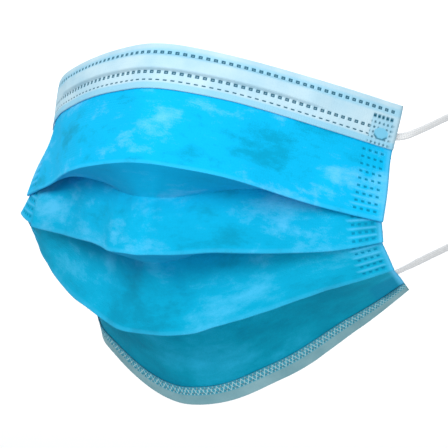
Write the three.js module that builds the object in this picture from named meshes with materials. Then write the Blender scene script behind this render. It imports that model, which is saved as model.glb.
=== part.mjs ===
// A pleated surgical face mask in the form it takes when worn: three pleats opened over the nose and chin,
// a binding folded over the top and the bottom edge, a nose wire under the top binding and two ear loops.
// Millimetres, +X to the mask's right as seen from the front, +Y into the face, +Z up.
// The origin is the middle of the top edge, where the mask sits on the bridge of the nose.

import * as THREE from 'three';

// Cloth
const CLOTH_WIDTH = 175;
const WALL = 1;
const GAP = 0.3;
const TOP_PANEL = 42;
const PLEAT_DEPTH = 15;

// How far each fold lies below the one above it at the side edges, where the pleats are welded shut
const SIDE_STEP_1 = 7;
const SIDE_STEP_2 = 12.5;
const SIDE_CHIN_PANEL = 26;

// The same distances at the middle of the face, where the pleats are pulled open
const OPEN_STEP_1 = 30.5;
const OPEN_STEP_2 = 32;
const OPEN_CHIN_PANEL = 42;

// Bindings folded over the cut edges
const TOP_BAND = 16;
const BOTTOM_BAND = 7.5;
const BACK_LEG = 5;

// Nose wire, flat, in the channel of the top binding
const WIRE_LENGTH = 104;
const WIRE_WIDTH = 4;
const WIRE_THICK = 0.8;
const WIRE_DROP = 6.8;
const CHANNEL_FOOT = 1.2;

// Ear loops, flat elastic
const LOOP_WIDTH = 2.6;
const LOOP_THICK = 1.2;
const LOOP_GRIP = 9;
const UPPER_LOOP_DROP = 11;
const LOWER_LOOP_DROP = 8;
const EAR_BACK = 52;
const EAR_OUT = 9;
const EAR_RADIUS = 21;
const EAR_RISE = 9;

// How far the loop keeps its direction where it leaves the corner and where it comes to the ear
const LEAVING = 0.2 * EAR_BACK;
const ARRIVING = 0.45 * EAR_BACK;
const TURNING = 2.5 * LOOP_GRIP;

// The top edge, from its middle over the nose to the side: its turn in plan and its fall, in degrees
const TOP_EDGE = [
  { share: 0, turn: 0, fall: 0 },
  { share: 0.1, turn: 21, fall: 9 },
  { share: 0.32, turn: 31, fall: 15 },
  { share: 0.62, turn: 37, fall: 17 },
  { share: 0.9, turn: 50, fall: 18.5 },
  { share: 1, turn: 51, fall: 18.5 },
];

// The top, second, third and chin panel, and how each hangs from the line above it, from the middle of the
// face to the side: lean tips it forwards and sway outwards, in degrees, and open is the share of the pleat
// that is pulled open
const PANELS = [
  {
    side: TOP_PANEL,
    middle: TOP_PANEL,
    hang: [
      { share: 0, lean: 25.5, sway: 0, open: 1 },
      { share: 0.35, lean: 25.5, sway: 0, open: 1 },
      { share: 0.7, lean: 24.5, sway: -1, open: 1 },
      { share: 1, lean: 24, sway: -1, open: 1 },
    ],
  },
  {
    side: SIDE_STEP_1,
    middle: OPEN_STEP_1,
    hang: [
      { share: 0, lean: 11, sway: 0, open: 1 },
      { share: 0.35, lean: -3, sway: -10, open: 0.84 },
      { share: 0.7, lean: 2, sway: -4, open: 0.4 },
      { share: 1, lean: 28, sway: 15, open: 0 },
    ],
  },
  {
    side: SIDE_STEP_2,
    middle: OPEN_STEP_2,
    hang: [
      { share: 0, lean: -24, sway: 0, open: 1 },
      { share: 0.35, lean: -10, sway: 11.5, open: 0.65 },
      { share: 0.7, lean: -14, sway: 13, open: 0.16 },
      { share: 1, lean: -16, sway: 18, open: 0 },
    ],
  },
  {
    side: SIDE_CHIN_PANEL,
    middle: OPEN_CHIN_PANEL,
    hang: [
      { share: 0, lean: -43, sway: 0, open: 1 },
      { share: 0.35, lean: -47.5, sway: 3, open: 0.83 },
      { share: 0.7, lean: -50, sway: 3, open: 0.27 },
      { share: 1, lean: -61, sway: -5, open: 0 },
    ],
  },
];

// Share of the half width between which the folded layers come to lie on each other
const STACK_START = 0.35;
const STACK_END = 0.85;

// Fineness of the faceted solids
const STATIONS = 34;
const EDGE_STEPS = 60;
const FOLD_STEPS = 4;
const RUN_ROWS = [2, 2, 4, 2, 4, 2, 6];
const EDGE_FACETS = 6;
const LOOP_STEPS = 44;
const EAR_POINTS = 6;
const STRAND_POINTS = 5;
const NEIGHBOUR = 0.01;

const HALF_WIDTH = CLOTH_WIDTH / 2;
const LAYER = WALL + GAP;
const FOLD_RADIUS = LAYER / 2;
const EDGE_INSET = LAYER + WALL / 2;
const DEGREE = Math.PI / 180;

const COLOURS = {
  blue: 0x2fc0ee,
  white: 0xd3edf8,
  shade: 0x9cc3cf,
  elastic: 0xe4eef2,
  wire: 0xc9ced2,
};

// A column of a table between its shares, smooth, and level at the middle of the face
function along(table, column, share) {
  const last = table.length - 1;
  let k = 0;
  while (k < last - 1 && share > table[k + 1].share) {
    k += 1;
  }
  const slope = (i) => {
    const a = table[Math.max(i - 1, 0)];
    const b = table[Math.min(i + 1, last)];
    return i === 0 ? 0 : (b[column] - a[column]) / (b.share - a.share);
  };
  const span = table[k + 1].share - table[k].share;
  const t = (share - table[k].share) / span;
  const rise = table[k + 1][column] - table[k][column];
  const start = slope(k) * span;
  const end = slope(k + 1) * span;
  const square = 3 * rise - 2 * start - end;
  const cube = start + end - 2 * rise;
  return table[k][column] + start * t + square * t ** 2 + cube * t ** 3;
}

function straight(table, column, share) {
  let k = 0;
  while (k < table.length - 2 && share > table[k + 1].share) {
    k += 1;
  }
  const t = (share - table[k].share) / (table[k + 1].share - table[k].share);
  return table[k][column] + (table[k + 1][column] - table[k][column]) * t;
}

// Points of the top edge of the right half, by small steps of the cloth's width
const TOP_LINE = [new THREE.Vector3()];
for (let i = 0; i < EDGE_STEPS; i += 1) {
  const share = (i + 0.5) / EDGE_STEPS;
  const turn = straight(TOP_EDGE, 'turn', share) * DEGREE;
  const fall = straight(TOP_EDGE, 'fall', share) * DEGREE;
  const level = Math.cos(fall);
  const step = new THREE.Vector3(level * Math.cos(turn), level * Math.sin(turn), -Math.sin(fall));
  TOP_LINE.push(TOP_LINE[i].clone().addScaledVector(step, HALF_WIDTH / EDGE_STEPS));
}

// The five lines of the face, top edge, three folds and hem, at a share of the half width, right half
function linesAt(share) {
  const place = Math.min(Math.max(share, 0), 1) * EDGE_STEPS;
  const k = Math.min(Math.floor(place), EDGE_STEPS - 1);
  const lines = [TOP_LINE[k].clone().lerp(TOP_LINE[k + 1], place - k)];
  for (const panel of PANELS) {
    const lean = along(panel.hang, 'lean', share) * DEGREE;
    const sway = along(panel.hang, 'sway', share) * DEGREE;
    const open = along(panel.hang, 'open', share);
    const length = panel.side + (panel.middle - panel.side) * open;
    const down = new THREE.Vector3(
      Math.sin(sway),
      -Math.cos(sway) * Math.sin(lean),
      -Math.cos(sway) * Math.cos(lean),
    );
    lines.push(lines.at(-1).clone().addScaledVector(down, length));
  }
  return lines;
}

// Lines, the distances down the face at which they lie, and the inward normals between them
function stationAt(share) {
  const lines = linesAt(share);
  const nearer = linesAt(Math.max(share - NEIGHBOUR, 0));
  const farther = linesAt(Math.min(share + NEIGHBOUR, 1));
  const reach = [0];
  const panelNormals = [];
  for (let k = 0; k < PANELS.length; k += 1) {
    const down = lines[k + 1].clone().sub(lines[k]);
    const side = farther[k].clone().add(farther[k + 1]).sub(nearer[k]).sub(nearer[k + 1]);
    if (share === 0) {
      side.set(1, 0, 0);
    }
    reach.push(reach[k] + down.length());
    panelNormals.push(side.cross(down).normalize());
  }
  const knots = [{ at: 0, normal: panelNormals[0] }];
  for (let k = 0; k < PANELS.length; k += 1) {
    knots.push({ at: (reach[k] + reach[k + 1]) / 2, normal: panelNormals[k] });
    const next = panelNormals[Math.min(k + 1, PANELS.length - 1)];
    knots.push({ at: reach[k + 1], normal: panelNormals[k].clone().add(next).normalize() });
  }
  return { share, lines, reach, knots };
}

// A point of the worn mask from its place in the flat section: down the face, and in from the outer surface
function wrap(station, down, inward) {
  const { lines, reach, knots } = station;
  let k = 0;
  while (k < PANELS.length - 1 && down > reach[k + 1]) {
    k += 1;
  }
  const t = (down - reach[k]) / (reach[k + 1] - reach[k]);
  const point = lines[k].clone().lerp(lines[k + 1], t);
  let n = 0;
  while (n < knots.length - 2 && down > knots[n + 1].at) {
    n += 1;
  }
  const blend = Math.min(Math.max((down - knots[n].at) / (knots[n + 1].at - knots[n].at), 0), 1);
  const normal = knots[n].normal.clone().lerp(knots[n + 1].normal, blend).normalize();
  return point.addScaledVector(normal, inward);
}

function smooth(low, high, value) {
  const t = Math.min(Math.max((value - low) / (high - low), 0), 1);
  return t * t * (3 - 2 * t);
}

// The folds of one section: each outer fold hangs a step below the last, and between two of them the cloth
// runs back up to an inner fold, found as the corner of a triangle whose sides are lengths of cloth
function foldsAt(station) {
  const shut = smooth(STACK_START, STACK_END, station.share);
  const folds = [];
  for (let k = 1; k < PANELS.length; k += 1) {
    const here = [station.reach[k] - FOLD_RADIUS, FOLD_RADIUS + 2 * (k - 1) * LAYER * shut];
    const isLast = k === PANELS.length - 1;
    const drop = isLast ? FOLD_RADIUS : 0;
    const next = [station.reach[k + 1] - FOLD_RADIUS + drop, here[1] + 2 * LAYER * shut - drop * shut];
    const dx = next[0] - here[0];
    const dy = next[1] - here[1];
    const span = Math.hypot(dx, dy);
    const { side } = PANELS[k];
    const step = side + (station.reach[k + 1] - station.reach[k] - side) * shut;
    const overlap = PLEAT_DEPTH - (step - side) / 2;
    const near = Math.hypot(overlap, LAYER);
    const far = Math.hypot(overlap + step + drop, LAYER - drop);
    const foot = (near ** 2 + span ** 2 - far ** 2) / (2 * span);
    const height = Math.sqrt(Math.max(near ** 2 - foot ** 2, 0));
    const inner = [here[0] + (foot * dx - height * dy) / span, here[1] + (foot * dy + height * dx) / span];
    folds.push({ centre: here, turn: 1 }, { centre: inner, turn: -1 });
  }
  const end = [station.reach.at(-1) - EDGE_INSET, 2 * (PANELS.length - 1) * LAYER * shut];
  return { folds, end };
}

// Shares along a straight run: even rows, and two more under a binding at either end, where its legs
// have theirs
function rowsAlong(length, under, count, withFirst) {
  const [first, last] = under.map((depth) => depth / length);
  const rows = first > 0 ? [first / 2, first] : [];
  for (let i = 1; i <= count; i += 1) {
    rows.push(first + ((1 - first - last) * i) / count);
  }
  if (last > 0) {
    rows.push(1 - last / 2, 1);
  }
  return withFirst ? [0, ...rows] : rows;
}

// The middle line of the cloth in one section, as points with their direction: straight runs between
// round folds
function clothPath(station) {
  const { folds, end } = foldsAt(station);
  const stops = [{ centre: [EDGE_INSET, 0], turn: 0 }, ...folds, { centre: end, turn: 0 }];
  const headings = [];
  for (let k = 0; k < stops.length - 1; k += 1) {
    const dx = stops[k + 1].centre[0] - stops[k].centre[0];
    const dy = stops[k + 1].centre[1] - stops[k].centre[1];
    const offset = FOLD_RADIUS * (stops[k].turn - stops[k + 1].turn);
    const sine = Math.min(Math.max(offset / Math.hypot(dx, dy), -1), 1);
    headings.push(Math.atan2(dy, dx) + Math.asin(sine));
  }
  const path = [];
  const last = headings.length - 1;
  let tail = stops[0].centre;
  for (let k = 0; k <= last; k += 1) {
    const heading = headings[k];
    const { centre, turn } = stops[k + 1];
    const head = [
      centre[0] + turn * FOLD_RADIUS * Math.sin(heading),
      centre[1] - turn * FOLD_RADIUS * Math.cos(heading),
    ];
    const length = Math.hypot(head[0] - tail[0], head[1] - tail[1]);
    const under = [
      k === 0 ? TOP_BAND - EDGE_INSET : 0,
      k === last ? BOTTOM_BAND - EDGE_INSET : 0,
    ];
    for (const t of rowsAlong(length, under, RUN_ROWS[k], k === 0)) {
      const at = [0, 1].map((axis) => tail[axis] + (head[axis] - tail[axis]) * t);
      path.push({ at, heading });
    }
    if (k < last) {
      const full = 2 * Math.PI;
      const sweep = turn * ((((headings[k + 1] - heading) * turn) % full + full) % full);
      for (let i = 1; i <= FOLD_STEPS; i += 1) {
        const turned = heading + (sweep * i) / FOLD_STEPS;
        tail = [
          centre[0] + turn * FOLD_RADIUS * Math.sin(turned),
          centre[1] - turn * FOLD_RADIUS * Math.cos(turned),
        ];
        path.push({ at: tail, heading: turned });
      }
    }
  }
  return path;
}

// A closed solid between two surfaces, each a grid of points, with walls round its four sides
function solidBetween(front, back) {
  const rows = front.length;
  const columns = front[0].length;
  const positions = [];
  for (const grid of [front, back]) {
    for (const row of grid) {
      for (const point of row) {
        positions.push(point.x, point.y, point.z);
      }
    }
  }
  const index = (side, i, j) => (side * rows + i) * columns + j;
  const triangles = [];
  const quad = (a, b, c, d) => triangles.push(a, b, c, a, c, d);
  for (let i = 0; i < rows - 1; i += 1) {
    for (let j = 0; j < columns - 1; j += 1) {
      quad(index(0, i, j), index(0, i, j + 1), index(0, i + 1, j + 1), index(0, i + 1, j));
      quad(index(1, i, j), index(1, i + 1, j), index(1, i + 1, j + 1), index(1, i, j + 1));
    }
    quad(index(0, i, 0), index(0, i + 1, 0), index(1, i + 1, 0), index(1, i, 0));
    const j = columns - 1;
    quad(index(0, i, j), index(1, i, j), index(1, i + 1, j), index(0, i + 1, j));
  }
  for (let j = 0; j < columns - 1; j += 1) {
    quad(index(0, 0, j), index(1, 0, j), index(1, 0, j + 1), index(0, 0, j + 1));
    const i = rows - 1;
    quad(index(0, i, j), index(0, i, j + 1), index(1, i, j + 1), index(1, i, j));
  }
  const geometry = new THREE.BufferGeometry();
  geometry.setAttribute('position', new THREE.Float32BufferAttribute(positions, 3));
  geometry.setIndex(triangles);
  geometry.computeVertexNormals();
  return geometry;
}

// Both faces of a strip of cloth across the mask, from one side edge to the other: shape gives, for a
// station, two equal lists of places in the flat section
function clothSolid(reach, steps, shape) {
  const front = [];
  const back = [];
  for (let i = 0; i <= steps; i += 1) {
    const place = (2 * i) / steps - 1;
    const station = stationAt(Math.abs(place) * reach);
    const sides = shape(station);
    const set = ([down, inward]) => {
      const point = wrap(station, down, inward);
      point.x *= place < 0 ? -1 : 1;
      return point;
    };
    front.push(sides.outer.map(set));
    back.push(sides.inner.map(set));
  }
  return solidBetween(front, back);
}

function bodyShape(station) {
  const offset = (side) => clothPath(station).map(({ at, heading }) => [
    at[0] + (side * WALL * Math.sin(heading)) / 2,
    at[1] - (side * WALL * Math.cos(heading)) / 2,
  ]);
  return { outer: offset(1), inner: offset(-1) };
}

// The cut edge of the cloth in a section, with the way out of the cloth and the way to the front
function cutEdge(station, isTop) {
  const path = clothPath(station);
  const { at, heading } = path.at(isTop ? 0 : -1);
  const way = isTop ? -1 : 1;
  return {
    at,
    out: [way * Math.cos(heading), way * Math.sin(heading)],
    front: [Math.sin(heading), -Math.cos(heading)],
  };
}

function fromEdge(edge, depth, front) {
  return [
    edge.at[0] - edge.out[0] * depth + edge.front[0] * front,
    edge.at[1] - edge.out[1] * depth + edge.front[1] * front,
  ];
}

// A binding: its front leg down from the band's free edge, round the cut edge, and its back leg
function bindingShape(station, isTop, band, ridge) {
  const edge = cutEdge(station, isTop);
  const depth = band - EDGE_INSET;
  const wireFar = WIRE_DROP - EDGE_INSET + WIRE_WIDTH / 2 + GAP;
  const wireNear = wireFar - WIRE_WIDTH - 2 * GAP;
  const path = [{ depth, front: LAYER, tilt: 0 }];
  if (!isTop) {
    path.push({ depth: depth / 2, front: LAYER, tilt: 0 });
  } else {
    path.push({ depth: wireFar + CHANNEL_FOOT, front: LAYER, tilt: 0 });
    path.push({ depth: wireFar, front: LAYER + ridge, tilt: 0 });
    path.push({ depth: wireNear, front: LAYER + ridge, tilt: 0 });
    path.push({ depth: wireNear - CHANNEL_FOOT, front: LAYER, tilt: 0 });
  }
  for (let i = 0; i <= EDGE_FACETS; i += 1) {
    const tilt = (Math.PI * i) / EDGE_FACETS;
    path.push({ depth: -LAYER * Math.sin(tilt), front: LAYER * Math.cos(tilt), tilt });
  }
  path.push({ depth: BACK_LEG - EDGE_INSET, front: -LAYER, tilt: Math.PI });
  const offset = (side) => path.map((stop) => fromEdge(
    edge,
    stop.depth - (side * WALL * Math.sin(stop.tilt)) / 2,
    stop.front + (side * WALL * Math.cos(stop.tilt)) / 2,
  ));
  return isTop ? { outer: offset(-1), inner: offset(1) } : { outer: offset(1), inner: offset(-1) };
}

// How high the top binding stands over the wire, which ends before the side edges
function ridgeAt(share) {
  const end = WIRE_LENGTH / CLOTH_WIDTH;
  const fade = (2 * CHANNEL_FOOT) / HALF_WIDTH;
  return (WIRE_THICK + GAP) * (1 - smooth(end + fade, end + 2 * fade, share));
}

function wireShape(station) {
  const edge = cutEdge(station, true);
  const middle = WIRE_DROP - EDGE_INSET;
  const inner = WALL / 2 + GAP;
  const row = (front) => [
    fromEdge(edge, middle + WIRE_WIDTH / 2, front),
    fromEdge(edge, middle - WIRE_WIDTH / 2, front),
  ];
  return { outer: row(inner), inner: row(inner + WIRE_THICK) };
}

// Centre line of the right ear loop: along the inside of one corner, round the ear, and back to the other
function loopLine() {
  const corner = (drop, layers) => {
    const points = [];
    for (const grip of [LOOP_GRIP, LOOP_GRIP / 2, 0]) {
      const station = stationAt(1 - grip / HALF_WIDTH);
      points.push(wrap(station, drop(station), layers * LAYER + WALL / 2 + GAP + LOOP_THICK / 2));
    }
    return points;
  };
  const upper = corner(() => UPPER_LOOP_DROP, 0);
  const lower = corner((station) => station.reach[3] + LOWER_LOOP_DROP, 2 * (PANELS.length - 1));
  const middle = upper[2].clone().add(lower[2]).divideScalar(2);
  const ear = middle.add(new THREE.Vector3(EAR_OUT, EAR_BACK, EAR_RISE));
  const arc = [];
  for (let i = 0; i <= EAR_POINTS; i += 1) {
    const angle = Math.PI * (0.5 - i / EAR_POINTS);
    arc.push(new THREE.Vector3(0, EAR_RADIUS * Math.cos(angle), EAR_RADIUS * Math.sin(angle)).add(ear));
  }
  const strand = ([, before, edge], target) => {
    const leave = edge.clone().sub(before).normalize().multiplyScalar(LEAVING);
    const arrive = new THREE.Vector3(0, -ARRIVING, 0);
    const curve = new THREE.CubicBezierCurve3(
      edge,
      edge.clone().add(leave),
      target.clone().add(arrive),
      target,
    );
    return curve.getPoints(STRAND_POINTS).slice(1, -1);
  };
  return [
    ...upper,
    ...strand(upper, arc[0]),
    ...arc,
    ...strand(lower, arc[EAR_POINTS]).reverse(),
    ...lower.reverse(),
  ];
}

// A flat band along the loop's line: it lies on the cloth at both ends and flat to the head between them
function loopSolid(side) {
  const points = loopLine();
  const curve = new THREE.CatmullRomCurve3(points, false, 'centripetal');
  const total = curve.getLength();
  const station = stationAt(1);
  const inward = (down) => wrap(station, down, 1).sub(wrap(station, down, 0));
  const ends = [inward(UPPER_LOOP_DROP), inward(station.reach[3] + LOWER_LOOP_DROP)];
  const across = new THREE.Vector3(-1, 0, 0);
  const front = [];
  const back = [];
  for (let i = 0; i <= LOOP_STEPS; i += 1) {
    const t = i / LOOP_STEPS;
    const point = curve.getPointAt(t);
    const tangent = curve.getTangentAt(t);
    const fromEnd = Math.min(t, 1 - t) * total;
    const free = smooth(LOOP_GRIP, TURNING, fromEnd);
    const normal = ends[t < 0.5 ? 0 : 1].clone().lerp(across, free);
    normal.addScaledVector(tangent, -normal.dot(tangent)).normalize();
    const width = tangent.clone().cross(normal);
    const corner = (w, n) => {
      const place = point.clone().addScaledVector(width, (w * LOOP_WIDTH) / 2);
      place.addScaledVector(normal, (n * LOOP_THICK) / 2);
      place.x *= side;
      return place;
    };
    const outer = [corner(-1, 1), corner(1, 1)];
    const inner = [corner(-1, -1), corner(1, -1)];
    front.push(side > 0 ? outer : inner);
    back.push(side > 0 ? inner : outer);
  }
  return solidBetween(front, back);
}

function piece(name, geometry, color, roughness, metalness = 0) {
  const mesh = new THREE.Mesh(geometry, new THREE.MeshStandardMaterial({ color, roughness, metalness }));
  mesh.name = name;
  return mesh;
}

const mask = new THREE.Group();
mask.name = 'surgical_face_mask';
mask.add(
  piece('pleated_body', clothSolid(1, STATIONS, bodyShape), COLOURS.blue, 0.85),
  piece(
    'top_binding',
    clothSolid(1, STATIONS, (station) => bindingShape(station, true, TOP_BAND, ridgeAt(station.share))),
    COLOURS.white,
    0.8,
  ),
  piece(
    'bottom_binding',
    clothSolid(1, STATIONS, (station) => bindingShape(station, false, BOTTOM_BAND, 0)),
    COLOURS.shade,
    0.8,
  ),
  piece('nose_wire', clothSolid(WIRE_LENGTH / CLOTH_WIDTH, STATIONS, wireShape), COLOURS.wire, 0.4, 0.8),
  piece('ear_loop_right', loopSolid(1), COLOURS.elastic, 0.7),
  piece('ear_loop_left', loopSolid(-1), COLOURS.elastic, 0.7),
);

export default mask;
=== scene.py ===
"""A surgical face mask in its worn form: pleated non-woven cloth, bound edges, nose wire and ear loops."""

import math

import bpy
import numpy as np
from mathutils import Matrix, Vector


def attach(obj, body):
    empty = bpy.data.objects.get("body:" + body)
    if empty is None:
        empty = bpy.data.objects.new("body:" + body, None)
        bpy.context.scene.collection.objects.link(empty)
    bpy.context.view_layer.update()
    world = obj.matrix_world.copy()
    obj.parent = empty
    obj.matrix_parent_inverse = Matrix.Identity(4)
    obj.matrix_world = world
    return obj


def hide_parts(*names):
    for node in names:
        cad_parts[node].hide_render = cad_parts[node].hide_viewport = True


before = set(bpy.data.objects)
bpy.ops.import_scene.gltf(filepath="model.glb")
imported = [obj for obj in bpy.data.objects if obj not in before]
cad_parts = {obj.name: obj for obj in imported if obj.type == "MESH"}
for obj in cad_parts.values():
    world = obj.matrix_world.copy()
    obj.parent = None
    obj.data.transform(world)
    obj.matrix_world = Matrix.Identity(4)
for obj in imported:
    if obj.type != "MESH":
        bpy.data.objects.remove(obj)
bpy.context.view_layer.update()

bl_info = {
    "name": "Surgical face mask",
    "version": (1, 0, 0),
    "blender": (4, 5, 0),
    "location": "View3D > Sidebar > Face mask",
    "description": "Makes the pleated cloth, bindings, nose wire and ear loops of a face mask",
    "category": "Object",
}

# The form is worked out in millimetres, with the middle of the top edge at the origin
MM = 0.001
HALF_WIDTH = 87.5
WALL = 0.4
LAYER = 0.55
FOLD_RADIUS = LAYER / 2
EDGE_INSET = 0.9
PLEAT_DEPTH = 13.0

# Top edge by share of the half width: turn in plan of the right and the left half, and fall, in degrees
TOP_EDGE = {
    "share": (0.0, 0.10, 0.32, 0.62, 0.90, 1.0),
    "right": (0.0, 22.2, 31.6, 35.8, 51.3, 52.6),
    "left": (0.0, 18.6, 28.3, 37.7, 59.1, 61.6),
    "fall": (0.0, 9.7, 14.9, 17.2, 18.4, 17.7),
}

# The top, second, third and chin panel: length at the side and in the middle, and how each hangs in the
# right and the left half at four shares of the half width. That is its lean forwards and sway outwards in
# degrees, and the share of its pleat that is pulled open
HANG_SHARES = (0.0, 0.35, 0.70, 1.0)
PANELS = [
    {"side": 42.0, "middle": 42.0, "right": {
        "lean": (23.2, 25.5, 22.8, 27.3), "sway": (0.0, 2.1, -2.4, 1.4), "open": (1.0, 1.0, 1.0, 1.0),
    }, "left": {
        "lean": (23.2, 24.6, 23.2, 25.5), "sway": (0.0, 2.8, -0.8, 6.1), "open": (1.0, 1.0, 1.0, 1.0),
    }},
    {"side": 7.3, "middle": 30.2, "right": {
        "lean": (9.8, -3.6, 0.8, 30.0), "sway": (0.0, -10.6, 1.6, 16.0), "open": (1.0, 0.81, 0.40, 0.0),
    }, "left": {
        "lean": (9.8, -1.3, -0.4, 27.1), "sway": (0.0, -9.4, 1.2, 16.6), "open": (1.0, 0.76, 0.39, 0.0),
    }},
    {"side": 12.0, "middle": 31.9, "right": {
        "lean": (-23.2, -9.7, -13.8, -16.2), "sway": (0.0, 11.0, 14.4, 17.8), "open": (1.0, 0.61, 0.16, 0.0),
    }, "left": {
        "lean": (-23.2, -9.0, -16.7, -30.0), "sway": (0.0, 11.8, 8.9, -13.0), "open": (1.0, 0.61, 0.24, 0.0),
    }},
    {"side": 26.0, "middle": 41.1, "right": {
        "lean": (-42.9, -48.9, -51.2, -62.2), "sway": (0.0, 6.0, 3.1, -6.7), "open": (1.0, 0.85, 0.27, 0.0),
    }, "left": {
        "lean": (-42.9, -54.3, -51.2, -58.7), "sway": (0.0, 7.5, -10.2, -6.2), "open": (1.0, 0.71, 0.36, 0.0),
    }},
]
STACK_START = 0.12
STACK_END = 0.92

# Weld dots: columns counted in from the side edge, pitch of the rows, size and width of the soft edges
WELD_COLUMNS = [3.6, 6.1, 8.6, 11.1]
WELD_PITCH = 2.65
WELD_DOT = {"across": 1.2, "soft_across": 0.16, "down": 0.78, "soft_down": 0.14}
FURROW_HEIGHT = 0.09
# The welded patch in the chin's corners: its sides from the cloth's side edge, and its top above the hem
CHIN_PATCH = {"near": (2.2, 2.9), "far": (12, 14), "top": (17, 19), "strength": 0.75}

# Crimped dashes: the rows lie below the top edge, and a core is the lighter centre of a dash
DASH_PITCH = 2.59
DASH_SHIFT = 1.58
DASH_ROWS = [
    {"drop": 3.4, "length": 1.35, "height": 1.05, "end": 86.0, "core": True},
    {"drop": 10.3, "length": 1.35, "height": 1.05, "end": 76.5, "core": True},
    {"drop": 13.0, "length": 1.3, "height": 0.42, "end": 76.5, "core": False},
]
DASH_HALF = 0.67
DASH_SOFT = 0.12
ROW_SOFT = 0.1
CORE = {"across": 0.35, "down": 0.25, "soft": 0.07, "light": 0.35}

# The hem's dashes and the crimps between them, measured up from the band's upper edge, and its corner strip
HEM_DASH = {"up": 2.6, "half": 0.35, "ink": 0.45}
HEM_CRIMP = {"up": 0.8, "half": 0.35, "across": 0.5, "clear": 12.0, "tint": 0.85}
HEM_STRIP = {"near": (2.8, 3.1), "far": (10.2, 10.5), "top": (-2.1, -1.9), "ink": 0.4}
LACE = {"middle": 5.2, "steep": 2.2, "core": 0.2, "edge": 0.4, "strength": 0.85}

# A blue tint on the top band: beside its first row of dashes, and at its free edge
ROW_TINT = {"beside": (0.9, 1.9), "share": 0.45}
EDGE_TINT = {"from": (13.5, 14.0), "share": 0.6}

TOP_BAND = 16.0
BOTTOM_BAND = 7.8
BACK_LEG = 5.0
WIRE = {"length": 104.0, "width": 4.0, "thick": 0.5, "drop": 6.8}
# How the band rises over the wire: room beside and over it, the foot of the slope, and where it fades out
# past the wire's end
RIDGE = {"clear": 0.2, "slack": 0.4, "foot": 0.9, "fade": (0.5, 11.0)}
# How much the ridge's lower and upper foot are shaded, how far beside them, and its end past the wire's
FOOT_SHADE = {"low": 0.16, "high": 0.08, "beside": (0.15, 0.75), "fade": (-8, 6)}

EDGE_STEPS = 120
FOLD_STEPS = 6
ARC_STEPS = 8
SHARE_STEP = 0.01
# A place that no mark reaches, for the turn and the back leg of a binding
AWAY = -9.0


def ease(low, high, value):
    t = np.clip((np.asarray(value, float) - low) / (high - low), 0, 1)
    return t * t * (3 - 2 * t)


def plateau(value, rise, fall):
    """1 between a rising and a falling soft edge, and 0 outside them."""
    return ease(*rise, value) * (1 - ease(*fall, value))


def reading(values, share):
    """A smooth reading of one side of a panel's hang, level at the middle of the face."""
    last = len(values) - 1
    k = 0
    while k < last - 1 and share > HANG_SHARES[k + 1]:
        k += 1

    def slope(i):
        a, b = max(i - 1, 0), min(i + 1, last)
        return 0.0 if i == 0 else (values[b] - values[a]) / (HANG_SHARES[b] - HANG_SHARES[a])

    span = HANG_SHARES[k + 1] - HANG_SHARES[k]
    t = (share - HANG_SHARES[k]) / span
    rise = values[k + 1] - values[k]
    start, end = slope(k) * span, slope(k + 1) * span
    bend = (3 * rise - 2 * start - end) * t ** 2 + (start + end - 2 * rise) * t ** 3
    return values[k] + start * t + bend


def unit(vectors):
    return vectors / np.linalg.norm(vectors, axis=-1)[..., None]


def spread(columns, rows):
    """Grids of two coordinates, one along each axis."""
    return np.stack(np.meshgrid(columns, rows, indexing="ij"), -1)


def lengths_along(points, power=1.0):
    """Distances along a line of points from its first one, each step raised to a power."""
    steps = np.linalg.norm(np.diff(points, axis=0), axis=1) ** power
    return np.concatenate([[0], np.cumsum(steps)])


def top_line(half):
    """Points of one half of the top edge, by small steps of the cloth's width."""
    middles = (np.arange(EDGE_STEPS) + 0.5) / EDGE_STEPS
    turn = np.radians(np.interp(middles, TOP_EDGE["share"], TOP_EDGE[half]))
    fall = np.radians(np.interp(middles, TOP_EDGE["share"], TOP_EDGE["fall"]))
    steps = np.stack([np.cos(fall) * np.cos(turn), np.cos(fall) * np.sin(turn), -np.sin(fall)], 1)
    return np.vstack([np.zeros(3), np.cumsum(steps * HALF_WIDTH / EDGE_STEPS, axis=0)])


TOP_LINES = {half: top_line(half) for half in ("right", "left")}
TOP_GRID = np.linspace(0, 1, EDGE_STEPS + 1)


def face_lines(share, half):
    """Top edge, three folds and hem at a share of the half width, with x counted outwards."""
    points = [np.array([np.interp(share, TOP_GRID, TOP_LINES[half][:, axis]) for axis in range(3)])]
    for panel in PANELS:
        lean, sway, opened = (reading(panel[half][key], share) for key in ("lean", "sway", "open"))
        lean, sway = math.radians(lean), math.radians(sway)
        length = panel["side"] + (panel["middle"] - panel["side"]) * opened
        down = (math.sin(sway), -math.cos(sway) * math.sin(lean), -math.cos(sway) * math.cos(lean))
        points.append(points[-1] + np.array(down) * length)
    return np.array(points)


# Uneven waves of the worn cloth: height, seed and length
WAVES = ((0.34, 5, 46), (0.16, 9, 21), (0.045, 14, 9))
# Soft creases pressed in by handling, from one place to another, across and down the face, and their height
CREASES = [
    {"from": (5, 49), "to": (2, 70), "wide": 3.2, "high": 0.9},
    {"from": (-17, 52), "to": (-13, 68), "wide": 4.0, "high": 0.6},
    {"from": (14, 80), "to": (20, 92), "wide": 3.2, "high": -0.7},
    {"from": (-22, 76), "to": (-12, 98), "wide": 4.0, "high": 0.7},
    {"from": (30, 58), "to": (52, 55), "wide": 3.6, "high": 0.6},
    {"from": (-8, 110), "to": (8, 132), "wide": 5.0, "high": 0.5},
    {"from": (26, 22), "to": (60, 32), "wide": 4.5, "high": -0.5},
    {"from": (-48, 22), "to": (-20, 33), "wide": 4.5, "high": 0.5},
]
# Where waves and creases calm down: from the sides by share, under the top band and above the hem
CALM = {"side": (0.72, 0.86), "band": (TOP_BAND - 2, TOP_BAND + 8), "hem": (-22, -8), "least": 0.25}
SIDE_HOLLOW = {"drop": 18.0, "tall": 11.0, "deep": 2.3, "from": 0.62}
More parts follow.
